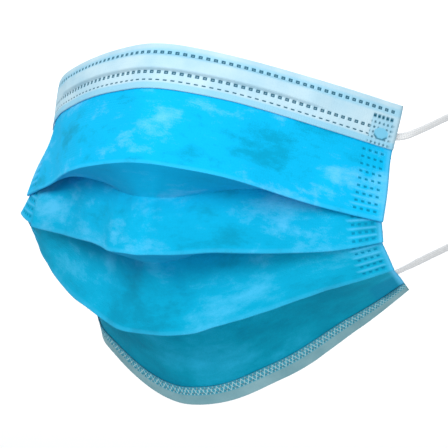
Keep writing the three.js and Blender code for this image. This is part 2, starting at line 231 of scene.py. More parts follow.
# The cloth of the second panel puffs out where it leaves the welds, more at the left: places by share
PUFF = {
    "rise": (0.5, 0.76), "fall": (0.795, 0.855), "top": (41, 46), "bottom": (53, 62),
    "left": 2.0, "right": 0.5,
}


def waves(s, v, seed, scale):
    """A soft uneven field over the cloth: a few crossing waves with seeded directions and phases."""
    rng = np.random.default_rng(seed)
    field = 0.0
    for _ in range(5):
        angle = rng.uniform(0, math.pi)
        phase = rng.uniform(0, 2 * math.pi)
        pitch = scale * rng.uniform(0.7, 1.4)
        field = field + np.sin((s * math.cos(angle) + v * math.sin(angle)) * 2 * math.pi / pitch + phase)
    return field / 5 ** 0.5


def hollows(s, down, total):
    """How far the worn cloth lies in from its smooth form: all its layers share the same hollows."""
    down = np.asarray(down, float)
    share = abs(s) / HALF_WIDTH
    soft = sum(high * waves(s, down, seed, scale) for high, seed, scale in WAVES)
    for crease in CREASES:
        (s0, d0), (s1, d1) = crease["from"], crease["to"]
        length = math.hypot(s1 - s0, d1 - d0)
        along_it = ((s - s0) * (s1 - s0) + (down - d0) * (d1 - d0)) / length
        off = ((s - s0) * (d1 - d0) - (down - d0) * (s1 - s0)) / length
        over = np.clip(along_it, 0, length) - along_it
        soft = soft - crease["high"] * np.exp(-(off ** 2 + over ** 2 * 0.4) / crease["wide"] ** 2)
    free = 1 - ease(*CALM["side"], share)
    calm = ease(*CALM["band"], down) * (1 - ease(*CALM["hem"], down - total))
    calm = CALM["least"] + (1 - CALM["least"]) * calm
    hollow = SIDE_HOLLOW["deep"] * np.exp(-((down - SIDE_HOLLOW["drop"]) / SIDE_HOLLOW["tall"]) ** 2)
    puff = plateau(share, PUFF["rise"], PUFF["fall"]) * plateau(down, PUFF["top"], PUFF["bottom"])
    puff = puff * PUFF["left" if s < 0 else "right"]
    return soft * free * calm + hollow * ease(SIDE_HOLLOW["from"], 1, share) - puff


class Station:
    """One section of the mask across its folds: its lines, their distances down the face, and normals."""

    def __init__(self, place):
        self.place = place
        self.side = -1 if place < 0 else 1
        self.share = abs(place)
        half = "left" if place < 0 else "right"
        self.points = face_lines(self.share, half)
        near = face_lines(max(self.share - SHARE_STEP, 0), half)
        far = face_lines(min(self.share + SHARE_STEP, 1), half)
        reach = [0.0]
        panel_normals = []
        for k in range(len(PANELS)):
            down = self.points[k + 1] - self.points[k]
            across = far[k] + far[k + 1] - near[k] - near[k + 1]
            if self.share < SHARE_STEP:
                part = self.share / SHARE_STEP
                across = np.array([1.0, 0, 0]) * (1 - part) + across * part
            reach.append(reach[k] + float(np.linalg.norm(down)))
            panel_normals.append(unit(np.cross(across, down)))
        at, normals = [0.0], [panel_normals[0]]
        for k, normal in enumerate(panel_normals):
            both = normal + panel_normals[min(k + 1, len(PANELS) - 1)]
            at += [(reach[k] + reach[k + 1]) / 2, reach[k + 1]]
            normals += [normal, unit(both)]
        self.reach = np.array(reach)
        self.normal_at = np.array(at)
        self.normals = np.array(normals)

    def wrap(self, flat):
        """Points in space of an array of places in the flat section: down the face, and inwards."""
        flat = np.asarray(flat, float)
        down, inward = flat[:, 0], flat[:, 1]
        reach = self.reach
        k = np.clip(np.searchsorted(reach, down, side="right") - 1, 0, len(PANELS) - 1)
        t = ((down - reach[k]) / (reach[k + 1] - reach[k]))[:, None]
        base = self.points[k] * (1 - t) + self.points[k + 1] * t
        held = np.clip(down, 0, reach[-1])
        normal = unit(np.stack([np.interp(held, self.normal_at, column) for column in self.normals.T], 1))
        out = base + normal * (inward + hollows(self.place * HALF_WIDTH, down, reach[-1]))[:, None]
        out[:, 0] *= self.side
        return out


def fold_centres(station):
    """Centres of the round folds: outer folds a step apart, and inner folds at the corner between them."""
    shut = float(ease(STACK_START, STACK_END, station.share))
    folds = []
    for k in range(1, len(PANELS)):
        here = np.array([station.reach[k] - FOLD_RADIUS, FOLD_RADIUS + 2 * (k - 1) * LAYER * shut])
        drop = FOLD_RADIUS if k == len(PANELS) - 1 else 0.0
        gap = station.reach[k + 1] - station.reach[k]
        dx, dy = gap + drop, (2 * LAYER - drop) * shut
        span = math.hypot(dx, dy)
        side = PANELS[k]["side"]
        step = side + (gap - side) * shut
        overlap = PLEAT_DEPTH - (step - side) / 2
        near = math.hypot(overlap, LAYER)
        far = math.hypot(overlap + step + drop, LAYER - drop)
        foot = (near ** 2 + span ** 2 - far ** 2) / (2 * span)
        height = math.sqrt(max(near ** 2 - foot ** 2, 0))
        inner = here + np.array([foot * dx - height * dy, foot * dy + height * dx]) / span
        folds += [(here, 1), (inner, -1)]
    end = np.array([station.reach[-1] - EDGE_INSET, 2 * (len(PANELS) - 1) * LAYER * shut])
    return folds, end


class ClothLine:
    """Middle line of the cloth in one section: straight runs, numbered from the top, between round folds."""

    def __init__(self, station):
        folds, end = fold_centres(station)
        self.stops = [(np.array([EDGE_INSET, 0.0]), 0)] + folds + [(end, 0)]
        self.headings = []
        self.runs = []
        for (a, turn_a), (b, turn_b) in zip(self.stops, self.stops[1:]):
            d = b - a
            sine = FOLD_RADIUS * (turn_a - turn_b) / math.hypot(*d)
            heading = math.atan2(d[1], d[0]) + math.asin(max(-1, min(1, sine)))
            off = FOLD_RADIUS * np.array([math.sin(heading), -math.cos(heading)])
            self.headings.append(heading)
            self.runs.append((a + turn_a * off, b + turn_b * off))

    def run_points(self, k, shares):
        tail, head = self.runs[k]
        return tail + (head - tail) * shares[:, None], np.full(len(shares), self.headings[k])

    def fold_points(self, k):
        centre, turn = self.stops[k + 1]
        first, second = self.headings[k], self.headings[k + 1]
        sweep = turn * (((second - first) * turn) % (2 * math.pi))
        heading = first + sweep * np.arange(1, FOLD_STEPS) / FOLD_STEPS
        off = FOLD_RADIUS * turn * np.stack([np.sin(heading), -np.cos(heading)], 1)
        return centre + off, heading


def marks(spots, half, soft):
    """Grid lines at both soft edges of each mark."""
    return [spot + edge for spot in spots for edge in (-half - soft, -half + soft, half - soft, half + soft)]


def ticks(low, high, wanted, coarse, close=0.12):
    """Grid lines from low to high through the wanted places, with no gap wider than coarse."""
    places = [low]
    for value in sorted(v for v in wanted if low + close < v < high - close):
        if value - places[-1] > close:
            places.append(value)
    places.append(high)
    out = [low]
    for a, b in zip(places, places[1:]):
        parts = max(1, math.ceil((b - a) / coarse))
        out += [a + (b - a) * i / parts for i in range(1, parts + 1)]
    return np.array(out)


def pads(value, spots, half, soft):
    """How far into a mark a place is, 0 outside and 1 on its floor."""
    best = np.zeros(np.shape(value))
    for spot in spots:
        best = np.maximum(best, 1 - ease(half - soft, half + soft, np.abs(value - spot)))
    return best


def new_piece(name, points, faces, uv, attributes):
    """A smooth object with a cloth UV map in metres and float attributes, one value a point."""
    mesh = bpy.data.meshes.new(name)
    mesh.from_pydata((points * MM).tolist(), [], faces)
    corners = np.zeros(len(mesh.loops), np.int32)
    mesh.loops.foreach_get("vertex_index", corners)
    layer = mesh.uv_layers.new(name="cloth")
    layer.data.foreach_set("uv", (uv * MM)[corners].astype(np.float32).reshape(-1))
    for key, values in attributes.items():
        data = mesh.attributes.new(key, "FLOAT", "POINT").data
        data.foreach_set("value", values.reshape(-1).astype(np.float32))
    mesh.shade_smooth()
    piece = bpy.data.objects.new(name, mesh)
    bpy.context.scene.collection.objects.link(piece)
    return piece


def new_sheet(name, front, back, uv, attributes, back_slot=0):
    """A closed thin solid between two grids of points. Each attribute has its values in front and behind."""
    rows, columns = front.shape[:2]
    grid = np.arange(rows * columns).reshape(rows, columns)
    other = grid + rows * columns
    quads = [
        np.stack([grid[:-1, :-1], grid[:-1, 1:], grid[1:, 1:], grid[1:, :-1]], -1).reshape(-1, 4),
        np.stack([other[:-1, :-1], other[1:, :-1], other[1:, 1:], other[:-1, 1:]], -1).reshape(-1, 4),
        np.stack([grid[:-1, 0], grid[1:, 0], other[1:, 0], other[:-1, 0]], -1),
        np.stack([grid[:-1, -1], other[:-1, -1], other[1:, -1], grid[1:, -1]], -1),
        np.stack([grid[0, :-1], other[0, :-1], other[0, 1:], grid[0, 1:]], -1),
        np.stack([grid[-1, :-1], grid[-1, 1:], other[-1, 1:], other[-1, :-1]], -1),
    ]
    points = np.concatenate([front.reshape(-1, 3), back.reshape(-1, 3)])
    values = {key: np.stack(pair) for key, pair in attributes.items()}
    faces = np.concatenate(quads).tolist()
    piece = new_piece(name, points, faces, np.tile(uv.reshape(-1, 2), (2, 1)), values)
    slots = np.zeros(len(faces), np.int32)
    slots[len(quads[0]):2 * len(quads[0])] = back_slot
    piece.data.polygons.foreach_set("material_index", slots)
    return piece


# Runs of the cloth from the top edge to the hem, of which every second one from the first shows outside.
# Each has its number of weld rows, the lowest row's height above its lower end, the widest gap in its grid,
# the length over which its furrows fade in from the top, and how deep it lies in the painted shade of the
# folds and the lower face
SHOWN = {"coarse": 0.8, "calm": 0}
TUCKED = {"length": PLEAT_DEPTH, "welds": 0, "low": 0.0, "coarse": 2.5, "calm": 0}
RUNS = [
    {**SHOWN, "length": PANELS[0]["side"] - EDGE_INSET, "welds": 9, "low": 2.4, "calm": 14, "deep": 0.0},
    {**TUCKED, "deep": 0.3},
    {**SHOWN, "length": PLEAT_DEPTH + PANELS[1]["side"], "welds": 4, "low": 1.7, "deep": 0.45},
    {**TUCKED, "deep": 0.6},
    {**SHOWN, "length": PLEAT_DEPTH + PANELS[2]["side"], "welds": 5, "low": 1.9, "deep": 0.7},
    {**TUCKED, "deep": 0.9},
    {**TUCKED, "length": PLEAT_DEPTH + PANELS[3]["side"] - EDGE_INSET, "coarse": 1.1, "deep": 1.0},
]


def furrows_of(places, spots, calm):
    """The cloth's rise between rows of welds and its fall along them, from -1 to 1 down one run."""
    if not spots:
        return np.zeros(len(places))
    low, high = min(spots), max(spots)
    near = plateau(places, (low - WELD_PITCH / 2 + calm, low + calm), (high, high + WELD_PITCH / 2))
    return near * -np.cos(2 * math.pi * (places - low) / WELD_PITCH)


def cloth_rows():
    """Places of the grid on each run, and values down the whole sheet, round its folds too.

    The values are the distance, the weld rows' depth, the furrows, the painted shade, the painted highlight
    on the lips of the outer folds, and the painted shade of the cloth tucked in under a fold.
    """
    run_places, parts = [], []
    start = EDGE_INSET
    bare = np.zeros(FOLD_STEPS - 1)
    turned = np.linspace(0, 1, FOLD_STEPS + 1)[1:-1]
    for k, run in enumerate(RUNS):
        length = run["length"]
        spots = [length - (run["low"] + WELD_PITCH * i) for i in range(run["welds"])]
        dot = (spots, WELD_DOT["down"] / 2, WELD_DOT["soft_down"])
        places = ticks(0, length, marks(*dot), run["coarse"])
        press = pads(places, *dot)
        furrow = furrows_of(places, spots, run["calm"])
        outer_fold = k in (0, 2, 4)
        # Painted highlight along the lip of each outer fold
        painted_lip_highlight = outer_fold * (1 - ease(0.3, 1.3, length - places))
        # Painted shade: the runs tucked under a fold darken from the fold's lip, and the shown runs below a
        # fold darken at their top
        if k in (1, 3, 5):
            painted_fold_shade = 1 - 0.6 * ease(0, length, places)
        else:
            painted_fold_shade = (k in (2, 4)) * 0.4 * (1 - ease(1, 9, places))
        run_places.append(places)
        parts.append((start + places, press, furrow, np.full(len(places), run["deep"]), painted_lip_highlight, painted_fold_shade))
        start += length
        if k < len(RUNS) - 1:
            painted_shade_on_fold = turned ** 2 if outer_fold else 0.4 * (1 - turned * (k == 5))
            parts.append((bare + start, bare, bare, bare + run["deep"], bare + outer_fold, painted_shade_on_fold))
    return run_places, [np.concatenate(values) for values in zip(*parts)]


def make_body(sizes):
    """The pleated cloth, blue outside and white inside, with its weld dots pressed in."""
    weld_columns = [sign * (HALF_WIDTH - column) for column in WELD_COLUMNS for sign in (-1, 1)]
    dot = (weld_columns, WELD_DOT["across"] / 2, WELD_DOT["soft_across"])
    columns = ticks(-HALF_WIDTH, HALF_WIDTH, marks(*dot) + [0], 1.05)
    run_places, (v, press, furrow, deep, painted_lip_highlight, painted_fold_shade) = cloth_rows()
    weld = pads(columns, *dot)[:, None] * press
    uv = spread(columns, v)
    edge = HALF_WIDTH - np.abs(uv[..., 0])
    furrow = plateau(edge, (1.6, 2.6), (WELD_COLUMNS[-1] + 1.2, WELD_COLUMNS[-1] + 2.6)) * furrow
    front = np.zeros((len(columns), len(v), 3))
    back = np.zeros_like(front)
    for i, s in enumerate(columns):
        station = Station(s / HALF_WIDTH)
        line = ClothLine(station)
        path = []
        for k, places in enumerate(run_places):
            path.append(line.run_points(k, places / places[-1]))
            if k < len(run_places) - 1:
                path.append(line.fold_points(k))
        points, headings = (np.concatenate(parts) for parts in zip(*path))
        out = np.stack([np.sin(headings), -np.cos(headings)], 1)
        relief = FURROW_HEIGHT * furrow[i] - sizes.weld_depth / MM * weld[i]
        front[i] = station.wrap(points + out * (WALL / 2 + relief)[:, None])
        back[i] = station.wrap(points - out * (WALL / 2 + 0.02 * weld[i])[:, None])
    # The cloth is paler at its cut sides, most at the chin, and the chin's corners are welded as a patch
    to_hem = v[-1] + EDGE_INSET - v
    pale = (1 - ease(0.8, 2.6, edge)) * (1 + 0.7 * (to_hem < PANELS[3]["side"]))
    # Painted highlight: the lips of the outer folds are paler along their edge
    pale = np.maximum(pale, 0.3 * painted_lip_highlight)
    patch = plateau(edge, CHIN_PATCH["near"], CHIN_PATCH["far"]) * (1 - ease(*CHIN_PATCH["top"], to_hem))
    deep, painted_fold_shade = np.broadcast_to(deep, weld.shape), np.broadcast_to(painted_fold_shade, weld.shape)
    return new_sheet("pleated_cloth", front, back, uv, {
        "weld": (np.maximum(weld, CHIN_PATCH["strength"] * patch), weld * 0.4),
        "pale": (pale, pale * 0),
        "deep": (deep, deep),
        "furrow": (furrow, furrow * 0),
        "painted_fold_shade": (painted_fold_shade, painted_fold_shade * 0),
    }, back_slot=1)


def cut_edge(station, top):
    """The cloth's cut edge in a section, the way out of the cloth, and the way to the front."""
    line = ClothLine(station)
    heading = line.headings[0 if top else -1]
    at = line.runs[0][0] if top else line.runs[-1][1]
    way = -1 if top else 1
    out = way * np.array([math.cos(heading), math.sin(heading)])
    return at, out, np.array([math.sin(heading), -math.cos(heading)])


BACK_DEPTHS = ticks(0, BACK_LEG - EDGE_INSET, [], 0.8)


def mark_places(depths, turn):
    """Places down a binding as its marks see them: the front leg's own, the turn's, and none behind."""
    return np.concatenate([depths, np.full(ARC_STEPS - 1, turn), np.full(len(BACK_DEPTHS), AWAY)])


def binding_grid(top, columns, depths, relief, back_uv, ridge=None):
    """Both faces of a binding and its UVs: front leg from its free edge, round the cut edge, back leg."""
    arc = math.pi * np.arange(1, ARC_STEPS) / ARC_STEPS
    tilt = np.concatenate([np.zeros(len(depths)), arc, np.full(len(BACK_DEPTHS), math.pi)])
    depth = np.concatenate([depths, -LAYER * np.sin(arc), BACK_DEPTHS])
    faces = {1: [], -1: []}
    for i, s in enumerate(columns):
        station = Station(s / HALF_WIDTH)
        at, out, face = cut_edge(station, top)
        front = LAYER * np.cos(tilt)
        if ridge:
            front = front + ridge(s, depth) * (tilt < 0.01)
        for sign, press in ((1, relief[i]), (-1, relief[i] * 0.5)):
            d = depth - sign * (WALL / 2) * np.sin(tilt)
            f = front + (sign * WALL / 2 - press) * np.cos(tilt)
            faces[sign].append(station.wrap(at - out * d[:, None] + face * f[:, None]))
    uv = spread(columns, np.where(tilt > 3, -depth - back_uv, depth))
    return np.array(faces[1]), np.array(faces[-1]), uv


def dash_places(end):
    """Places across the cloth of the dashes of one row, evenly spaced and clear of the side edges."""
    count = int(HALF_WIDTH * 2 / DASH_PITCH) + 2
    places = [(k - count // 2 - DASH_SHIFT) * DASH_PITCH for k in range(count)]
    return [p for p in places if abs(p) < end]


# Patch where an ear loop is welded through a corner: from the side edge, and down from the top edge
KNURL = {"near": 2.4, "far": 10.9, "upper": 5.6, "lower": 16.0, "pitch": 1.7, "teeth": 5, "tooth": 1.5}
KNURL_GRID = 0.3
BLOB = {"edge": 6.2, "drop": 11.9, "across": 3.0, "down": 2.2}


def knurl(s, drop):
    """Pattern, tint and area of the welded patch: a diamond knurl under a row of square teeth.

    Its diamonds are drawn a little coarser than the real ones, which a render at this distance would lose.
    """
    edge = HALF_WIDTH - np.abs(s)
    near, far, upper, lower = (KNURL[key] for key in ("near", "far", "upper", "lower"))
    inside = plateau(edge, (near - 0.2, near + 0.2), (far - 0.2, far + 0.2))
    inside = inside * plateau(drop, (upper, upper + 0.3), (lower - 0.4, lower))
    phase = (edge - near) / ((far - near) / KNURL["teeth"])
    tooth = 1 - ease(0.26, 0.4, np.abs(phase - np.floor(phase) - 0.5))
    tooth = tooth * (1 - ease(KNURL["tooth"] - 0.3, KNURL["tooth"], drop - upper))
    turn = math.pi / KNURL["pitch"]
    diamonds = ease(0.25, 0.7, np.sin((edge + drop) * turn) * np.sin((edge - drop) * turn))
    diamonds = diamonds * ease(KNURL["tooth"], KNURL["tooth"] + 0.3, drop - upper)
    across = np.abs(edge - BLOB["edge"]) / BLOB["across"]
    down = np.abs(drop - BLOB["drop"]) / BLOB["down"]
    reach = np.maximum(np.maximum(across, down), (across + down) * 0.7)
    blob = 1 - ease(0.88, 1.0, reach)
    rim = blob * ease(0.6, 0.8, reach) * ease(0, 1.2, drop - BLOB["drop"])
    pattern = np.maximum(np.maximum(tooth, diamonds * 0.85 * (1 - blob)), 0.8 * rim)
    return inside * pattern, inside * np.maximum(blob, 0.4), inside


def make_top_binding(sizes):
    """White band with the wire's ridge, three rows of crimped dashes and the welded corner patches."""
    dashes = dash_places(DASH_ROWS[0]["end"])
    knurled = np.arange(KNURL["near"], KNURL["far"], KNURL_GRID)
    wanted = marks(dashes, DASH_HALF, DASH_SOFT) + marks(dashes, CORE["across"], CORE["soft"])
    wanted += [sign * (HALF_WIDTH - edge) for edge in knurled for sign in (-1, 1)]
    columns = ticks(-HALF_WIDTH, HALF_WIDTH, wanted, 1.4)
    middle, half = WIRE["drop"] - EDGE_INSET, WIRE["width"] / 2
    far, near = middle + half + RIDGE["clear"], middle - half - RIDGE["clear"]
    wanted = [far + RIDGE["foot"], far, far - 0.4, near + 0.4, near, near - RIDGE["foot"]]
    for row in DASH_ROWS:
        wanted += marks([row["drop"] - EDGE_INSET], row["height"] / 2, ROW_SOFT)
        if row["core"]:
            wanted += marks([row["drop"] - EDGE_INSET], CORE["down"], CORE["soft"])
    depths = ticks(0, TOP_BAND - EDGE_INSET, wanted, 0.42, 0.1)[::-1]
    drop = mark_places(depths + EDGE_INSET, EDGE_INSET)
    s_grid, d_grid = np.meshgrid(columns, drop, indexing="ij")
    dash, core = np.zeros(s_grid.shape), np.zeros(s_grid.shape)
    for row in DASH_ROWS:
        places = dash_places(row["end"])
        across = pads(columns, places, row["length"] / 2, DASH_SOFT)[:, None]
        dash = np.maximum(dash, across * pads(drop, [row["drop"]], row["height"] / 2, ROW_SOFT))
        if row["core"]:
            across = pads(columns, places, CORE["across"], CORE["soft"])[:, None]
            core = np.maximum(core, across * pads(drop, [row["drop"]], CORE["down"], CORE["soft"]))
    pattern, tint, inside = knurl(s_grid, d_grid)
    beside_row = 1 - ease(*ROW_TINT["beside"], np.abs(d_grid - DASH_ROWS[0]["drop"]))
    tint = np.maximum(tint, ROW_TINT["share"] * beside_row)
    tint = np.maximum(tint, EDGE_TINT["share"] * ease(*EDGE_TINT["from"], d_grid))
    dash = dash * (1 - inside)
    relief = sizes.weld_depth / MM * np.maximum(dash, 0.8 * pattern)
    half_wire = WIRE["length"] / 2

    def ridge(s, depth):
        up = plateau(depth, (near - RIDGE["foot"], near), (far, far + RIDGE["foot"]))
        fade = 1 - ease(*RIDGE["fade"], abs(s) - half_wire)
        return up * fade * (WIRE["thick"] + RIDGE["slack"])

    outer, inner, uv = binding_grid(True, columns, depths, relief, 40, ridge)
    # Painted shade: grey lines along the lower and upper foot of the wire's ridge, laid into the weld ink
    shade = np.zeros(s_grid.shape)
    for way, strength in ((1, FOOT_SHADE["low"]), (-1, FOOT_SHADE["high"])):
        foot = WIRE["drop"] + way * (half + RIDGE["foot"] * 0.6)
        shade = np.maximum(shade, strength * (1 - ease(*FOOT_SHADE["beside"], np.abs(d_grid - foot))))
    shade = shade * (1 - ease(*FOOT_SHADE["fade"], np.abs(s_grid) - half_wire))
    ink = np.maximum(np.maximum(dash * (1 - CORE["light"] * core), pattern), shade)
    return new_sheet("top_band", inner, outer, uv, {"weld": (ink * 0.3, ink), "patch": (tint * 0.3, tint)})


def make_bottom_binding(sizes):
    """White band round the hem, crimped at its edge, with one row of dashes."""
    dashes = dash_places(HALF_WIDTH - HEM_CRIMP["clear"])
    gaps = [place + DASH_PITCH / 2 for place in dashes]
    dash_marks, crimp_marks = (dashes, DASH_HALF, DASH_SOFT), (gaps, HEM_CRIMP["across"], DASH_SOFT)
    columns = ticks(-HALF_WIDTH, HALF_WIDTH, marks(*dash_marks) + marks(*crimp_marks), 1.4)
    depth_end = BOTTOM_BAND - EDGE_INSET
    dash_row = ([depth_end - HEM_DASH["up"]], HEM_DASH["half"], ROW_SOFT)
    crimp_row = ([depth_end - HEM_CRIMP["up"]], HEM_CRIMP["half"], ROW_SOFT)
    depths = ticks(0, depth_end, marks(*dash_row) + marks(*crimp_row), 0.45, 0.1)[::-1]
    drop = mark_places(depths, AWAY)
    dash = np.maximum(pads(columns, *dash_marks)[:, None] * pads(drop, *dash_row),
                      pads(columns, *crimp_marks)[:, None] * pads(drop, *crimp_row))
    outer, inner, uv = binding_grid(False, columns, depths, sizes.weld_depth / MM * dash, 80)
    edge = HALF_WIDTH - np.abs(columns)[:, None]
    strip = plateau(edge, HEM_STRIP["near"], HEM_STRIP["far"]) * ease(*HEM_STRIP["top"], drop - depth_end)
    ink = np.maximum(dash * HEM_DASH["ink"], strip * HEM_STRIP["ink"])
    tint = np.maximum(strip, HEM_CRIMP["tint"] * ease(-3.5, -3.1, drop - depth_end))
    return new_sheet("bottom_band", outer, inner, uv, {"weld": (ink, ink * 0.3), "patch": (tint, tint * 0)})


def make_wire():
    """Flat aluminium strip in the channel of the top band."""
    half = WIRE["length"] / 2
    columns = ticks(-half, half, [], 1.3)
    middle = WIRE["drop"] - EDGE_INSET
    base = WALL / 2 + 0.1
    depths = np.array([middle + WIRE["width"] / 2, middle - WIRE["width"] / 2])
    lower, upper = [], []
    for s in columns:
        station = Station(s / HALF_WIDTH)
        at, out, face = cut_edge(station, True)
        for faces, height in ((lower, base), (upper, base + WIRE["thick"])):
            faces.append(station.wrap(at - out * depths[:, None] + face * height))
    return new_sheet("nose_strip", np.array(lower), np.array(upper), spread(columns, depths), {})


# Ear loop: grip on the cloth, place below the top edge and below the chin panel's fold, and the ear
LOOP = {"grip": 9.0, "upper": 11.0, "lower": 8.0, "gap": 0.12, "step": 0.8}
EAR = {"back": 52.0, "out": 9.0, "radius": 23.5, "rise": 5.5}


def catmull(points, steps):
    """A smooth line through the points, by centripetal spacing."""
    points = np.array(points)
    ghost = np.vstack([2 * points[0] - points[1], points, 2 * points[-1] - points[-2]])
    out = []
    for i in range(1, len(ghost) - 2):
        p = ghost[i - 1:i + 3]
        t = lengths_along(p, 0.5)
        for u in np.linspace(t[1], t[2], steps, endpoint=False):
            a = [((t[k + 1] - u) * p[k] + (u - t[k]) * p[k + 1]) / (t[k + 1] - t[k]) for k in range(3)]
            b = [((t[k + 2] - u) * a[k] + (u - t[k]) * a[k + 1]) / (t[k + 2] - t[k]) for k in range(2)]
            out.append(((t[2] - u) * b[0] + (u - t[1]) * b[1]) / (t[2] - t[1]))
    return np.array(out + [points[-1]])


def strand(points, target):
    """Points of the free elastic between its end on the cloth and the ear, along a cubic curve."""
    leave = points[2] + unit(points[2] - points[1]) * EAR["back"] * 0.1
    arrive = target + np.array([0, -EAR["back"] * 0.45, 0])
    t = np.arange(1, 5)[:, None] / 5
    away = (1 - t) ** 3 * points[2] + 3 * t * (1 - t) ** 2 * leave
    return list(away + 3 * t ** 2 * (1 - t) * arrive + t ** 3 * target)


def loop_line(side, thick):
    """Centre line of one ear loop and the inward normals at its two ends."""
    ends, normals = [], []
    for name, layers in (("upper", 0), ("lower", 2 * (len(PANELS) - 1))):
        points = []
        for grip in (LOOP["grip"], LOOP["grip"] / 2, 0):
            station = Station(side * (1 - grip / HALF_WIDTH))
            down = LOOP[name] + (station.reach[3] if name == "lower" else 0)
            inward = layers * LAYER + WALL / 2 + LOOP["gap"] + thick / 2
            both = station.wrap([(down, inward), (down, inward + 1)])
            points.append(both[0])
        normals.append(both[1] - both[0])
        ends.append(points)
    ear = (ends[0][2] + ends[1][2]) / 2 + np.array([side * EAR["out"], EAR["back"], EAR["rise"]])
    arc = []
    for i in range(7):
        angle = math.pi * (0.5 - i / 6)
        arc.append(ear + EAR["radius"] * np.array([0, math.cos(angle), math.sin(angle)]))
    points = ends[0] + strand(ends[0], arc[0]) + arc + strand(ends[1], arc[-1])[::-1] + ends[1][::-1]
    return catmull(points, 10), normals


def make_loop(name, side, sizes):
    """Flat knitted elastic with rounded edges, on the inside of both corners and round the ear."""
    half_w, half_t = sizes.loop_width / MM / 2, sizes.loop_thick / MM / 2
    line, (first_normal, last_normal) = loop_line(side, half_t * 2)
    length = lengths_along(line)
    along_loop = np.linspace(0, length[-1], int(length[-1] / LOOP["step"]) + 1)
    centre = np.stack([np.interp(along_loop, length, line[:, axis]) for axis in range(3)], 1)
    tangent = unit(np.gradient(centre, axis=0))
    from_end = np.minimum(along_loop, length[-1] - along_loop)
    free = ease(LOOP["grip"], LOOP["grip"] * 2.5, from_end)[:, None]
    held = np.where((along_loop < length[-1] / 2)[:, None], first_normal, last_normal)
    normal = held * (1 - free) + np.array([-side, 0, 0]) * free
    normal = unit(normal - tangent * (normal * tangent).sum(1)[:, None])
    width = np.cross(tangent, normal)
    round_off = half_t * 0.8
    ring = []
    for quarter in range(4):
        cx = (half_w - round_off) * (1 if quarter in (0, 3) else -1)
        cy = (half_t - round_off) * (1 if quarter < 2 else -1)
        for step in range(3):
            angle = math.pi / 2 * quarter + math.pi / 4 * step
            ring.append((cx + round_off * math.cos(angle), cy + round_off * math.sin(angle)))
    ring = np.array(ring)
    points = centre[:, None] + width[:, None] * ring[None, :, :1] + normal[:, None] * ring[None, :, 1:]
    rows, n = points.shape[:2]
    index = np.arange(rows * n).reshape(rows, n)
    turned = np.roll(index, -1, axis=1)
    faces = np.stack([index[:-1], turned[:-1], turned[1:], index[1:]], -1).reshape(-1, 4).tolist()
    faces += [index[0][::-1].tolist(), index[-1].tolist()]
    uv = spread(along_loop, lengths_along(ring)).reshape(-1, 2)
    rim = ease(half_w - half_t, half_w - half_t * 0.2, np.abs(ring[:, 0]))
    return new_piece(name, points.reshape(-1, 3), faces, uv, {"rim": np.tile(rim, rows)})


def linear(colour):
    """An sRGB hex colour as linear RGBA."""
    channels = [int(colour[i:i + 2], 16) / 255 for i in (1, 3, 5)]
    return tuple(c / 12.92 if c <= 0.04045 else ((c + 0.055) / 1.055) ** 2.4 for c in channels) + (1.0,)


def rgba(colour):
    """A colour property, already linear, with full alpha."""
    return (*colour, 1.0)


def new_material(name):
    material = bpy.data.materials.new(name)
    material.use_nodes = True
    tree = material.node_tree
    tree.nodes.clear()
    return material, tree


def add_node(tree, kind, settings=None, links=None):
    """Adds a shader node, sets its properties and inputs, and links its inputs to other nodes' outputs."""
    node = tree.nodes.new("ShaderNode" + kind)
    for key, value in (settings or {}).items():
        if isinstance(key, str) and hasattr(node, key) and key not in node.inputs:
            setattr(node, key, value)
        else:
            node.inputs[key].default_value = value
    for key, (source, output) in (links or {}).items():
        tree.links.new(source.outputs[output], node.inputs[key])
    return node


def colour_ramp(tree, source, stops):
    """A colour ramp whose stops are a place and a colour property, as a node and its output."""
    ramp = add_node(tree, "ValToRGB", links={"Fac": source})
    elements = ramp.color_ramp.elements
    while len(elements) < len(stops):
        elements.new(0.5)
    for element, (place, colour) in zip(elements, stops):
        element.position = place
        element.color = rgba(colour)
    return ramp, "Color"


def coat(tree, under, attribute, strength, colour):
    """Lays a colour over another where a float attribute of the piece says, up to a strength."""
    where = add_node(tree, "Attribute", {"attribute_name": attribute})
    share = add_node(tree, "Math", {"operation": "MULTIPLY", "use_clamp": True, 1: strength},
                     {0: (where, "Fac")})
    over = add_node(tree, "Mix", {"data_type": "RGBA", 7: rgba(colour)}, {0: (share, "Value"), 6: under})
    return over, 2


def finish_cloth(tree, colour, height, bump):
    """The shared end of each cloth material: rough fibres with a soft sheen and a little relief."""
    relief = add_node(tree, "Bump", {"Strength": bump, "Distance": 0.2 * MM}, {"Height": (height, "Value")})
    shader = add_node(tree, "BsdfPrincipled", {
        "Roughness": 0.85, "IOR": 1.49, "Specular IOR Level": 0.1,
        "Sheen Weight": 0.01, "Sheen Roughness": 0.4,
    }, {"Base Color": colour, "Normal": (relief, "Normal")})
    add_node(tree, "OutputMaterial", links={"Surface": (shader, "BSDF")})


def spunbond(tree):
    """Point-bonded polypropylene: fibres running every way, and small dots where they are fused.

    Gives the cloth's UV map, its fibres and its height. Real fibres are finer than the ones drawn.
    """
    place = (add_node(tree, "UVMap", {"uv_map": "cloth"}), "UV")
    fine = {"Scale": 2600.0, "Detail": 3.0, "Roughness": 0.65}
    fibres = add_node(tree, "TexNoise", fine, {"Vector": place})
    dots = add_node(tree, "TexVoronoi", {"Scale": 1 / (0.95 * MM), "Randomness": 0.25}, {"Vector": place})
    rim = add_node(tree, "MapRange", {"From Min": 0.12, "From Max": 0.34}, {"Value": (dots, "Distance")})
    height = add_node(tree, "Math", {"operation": "MULTIPLY_ADD", 1: 0.5},
                      {0: (fibres, "Fac"), 2: (rim, "Result")})
    return place, fibres, height


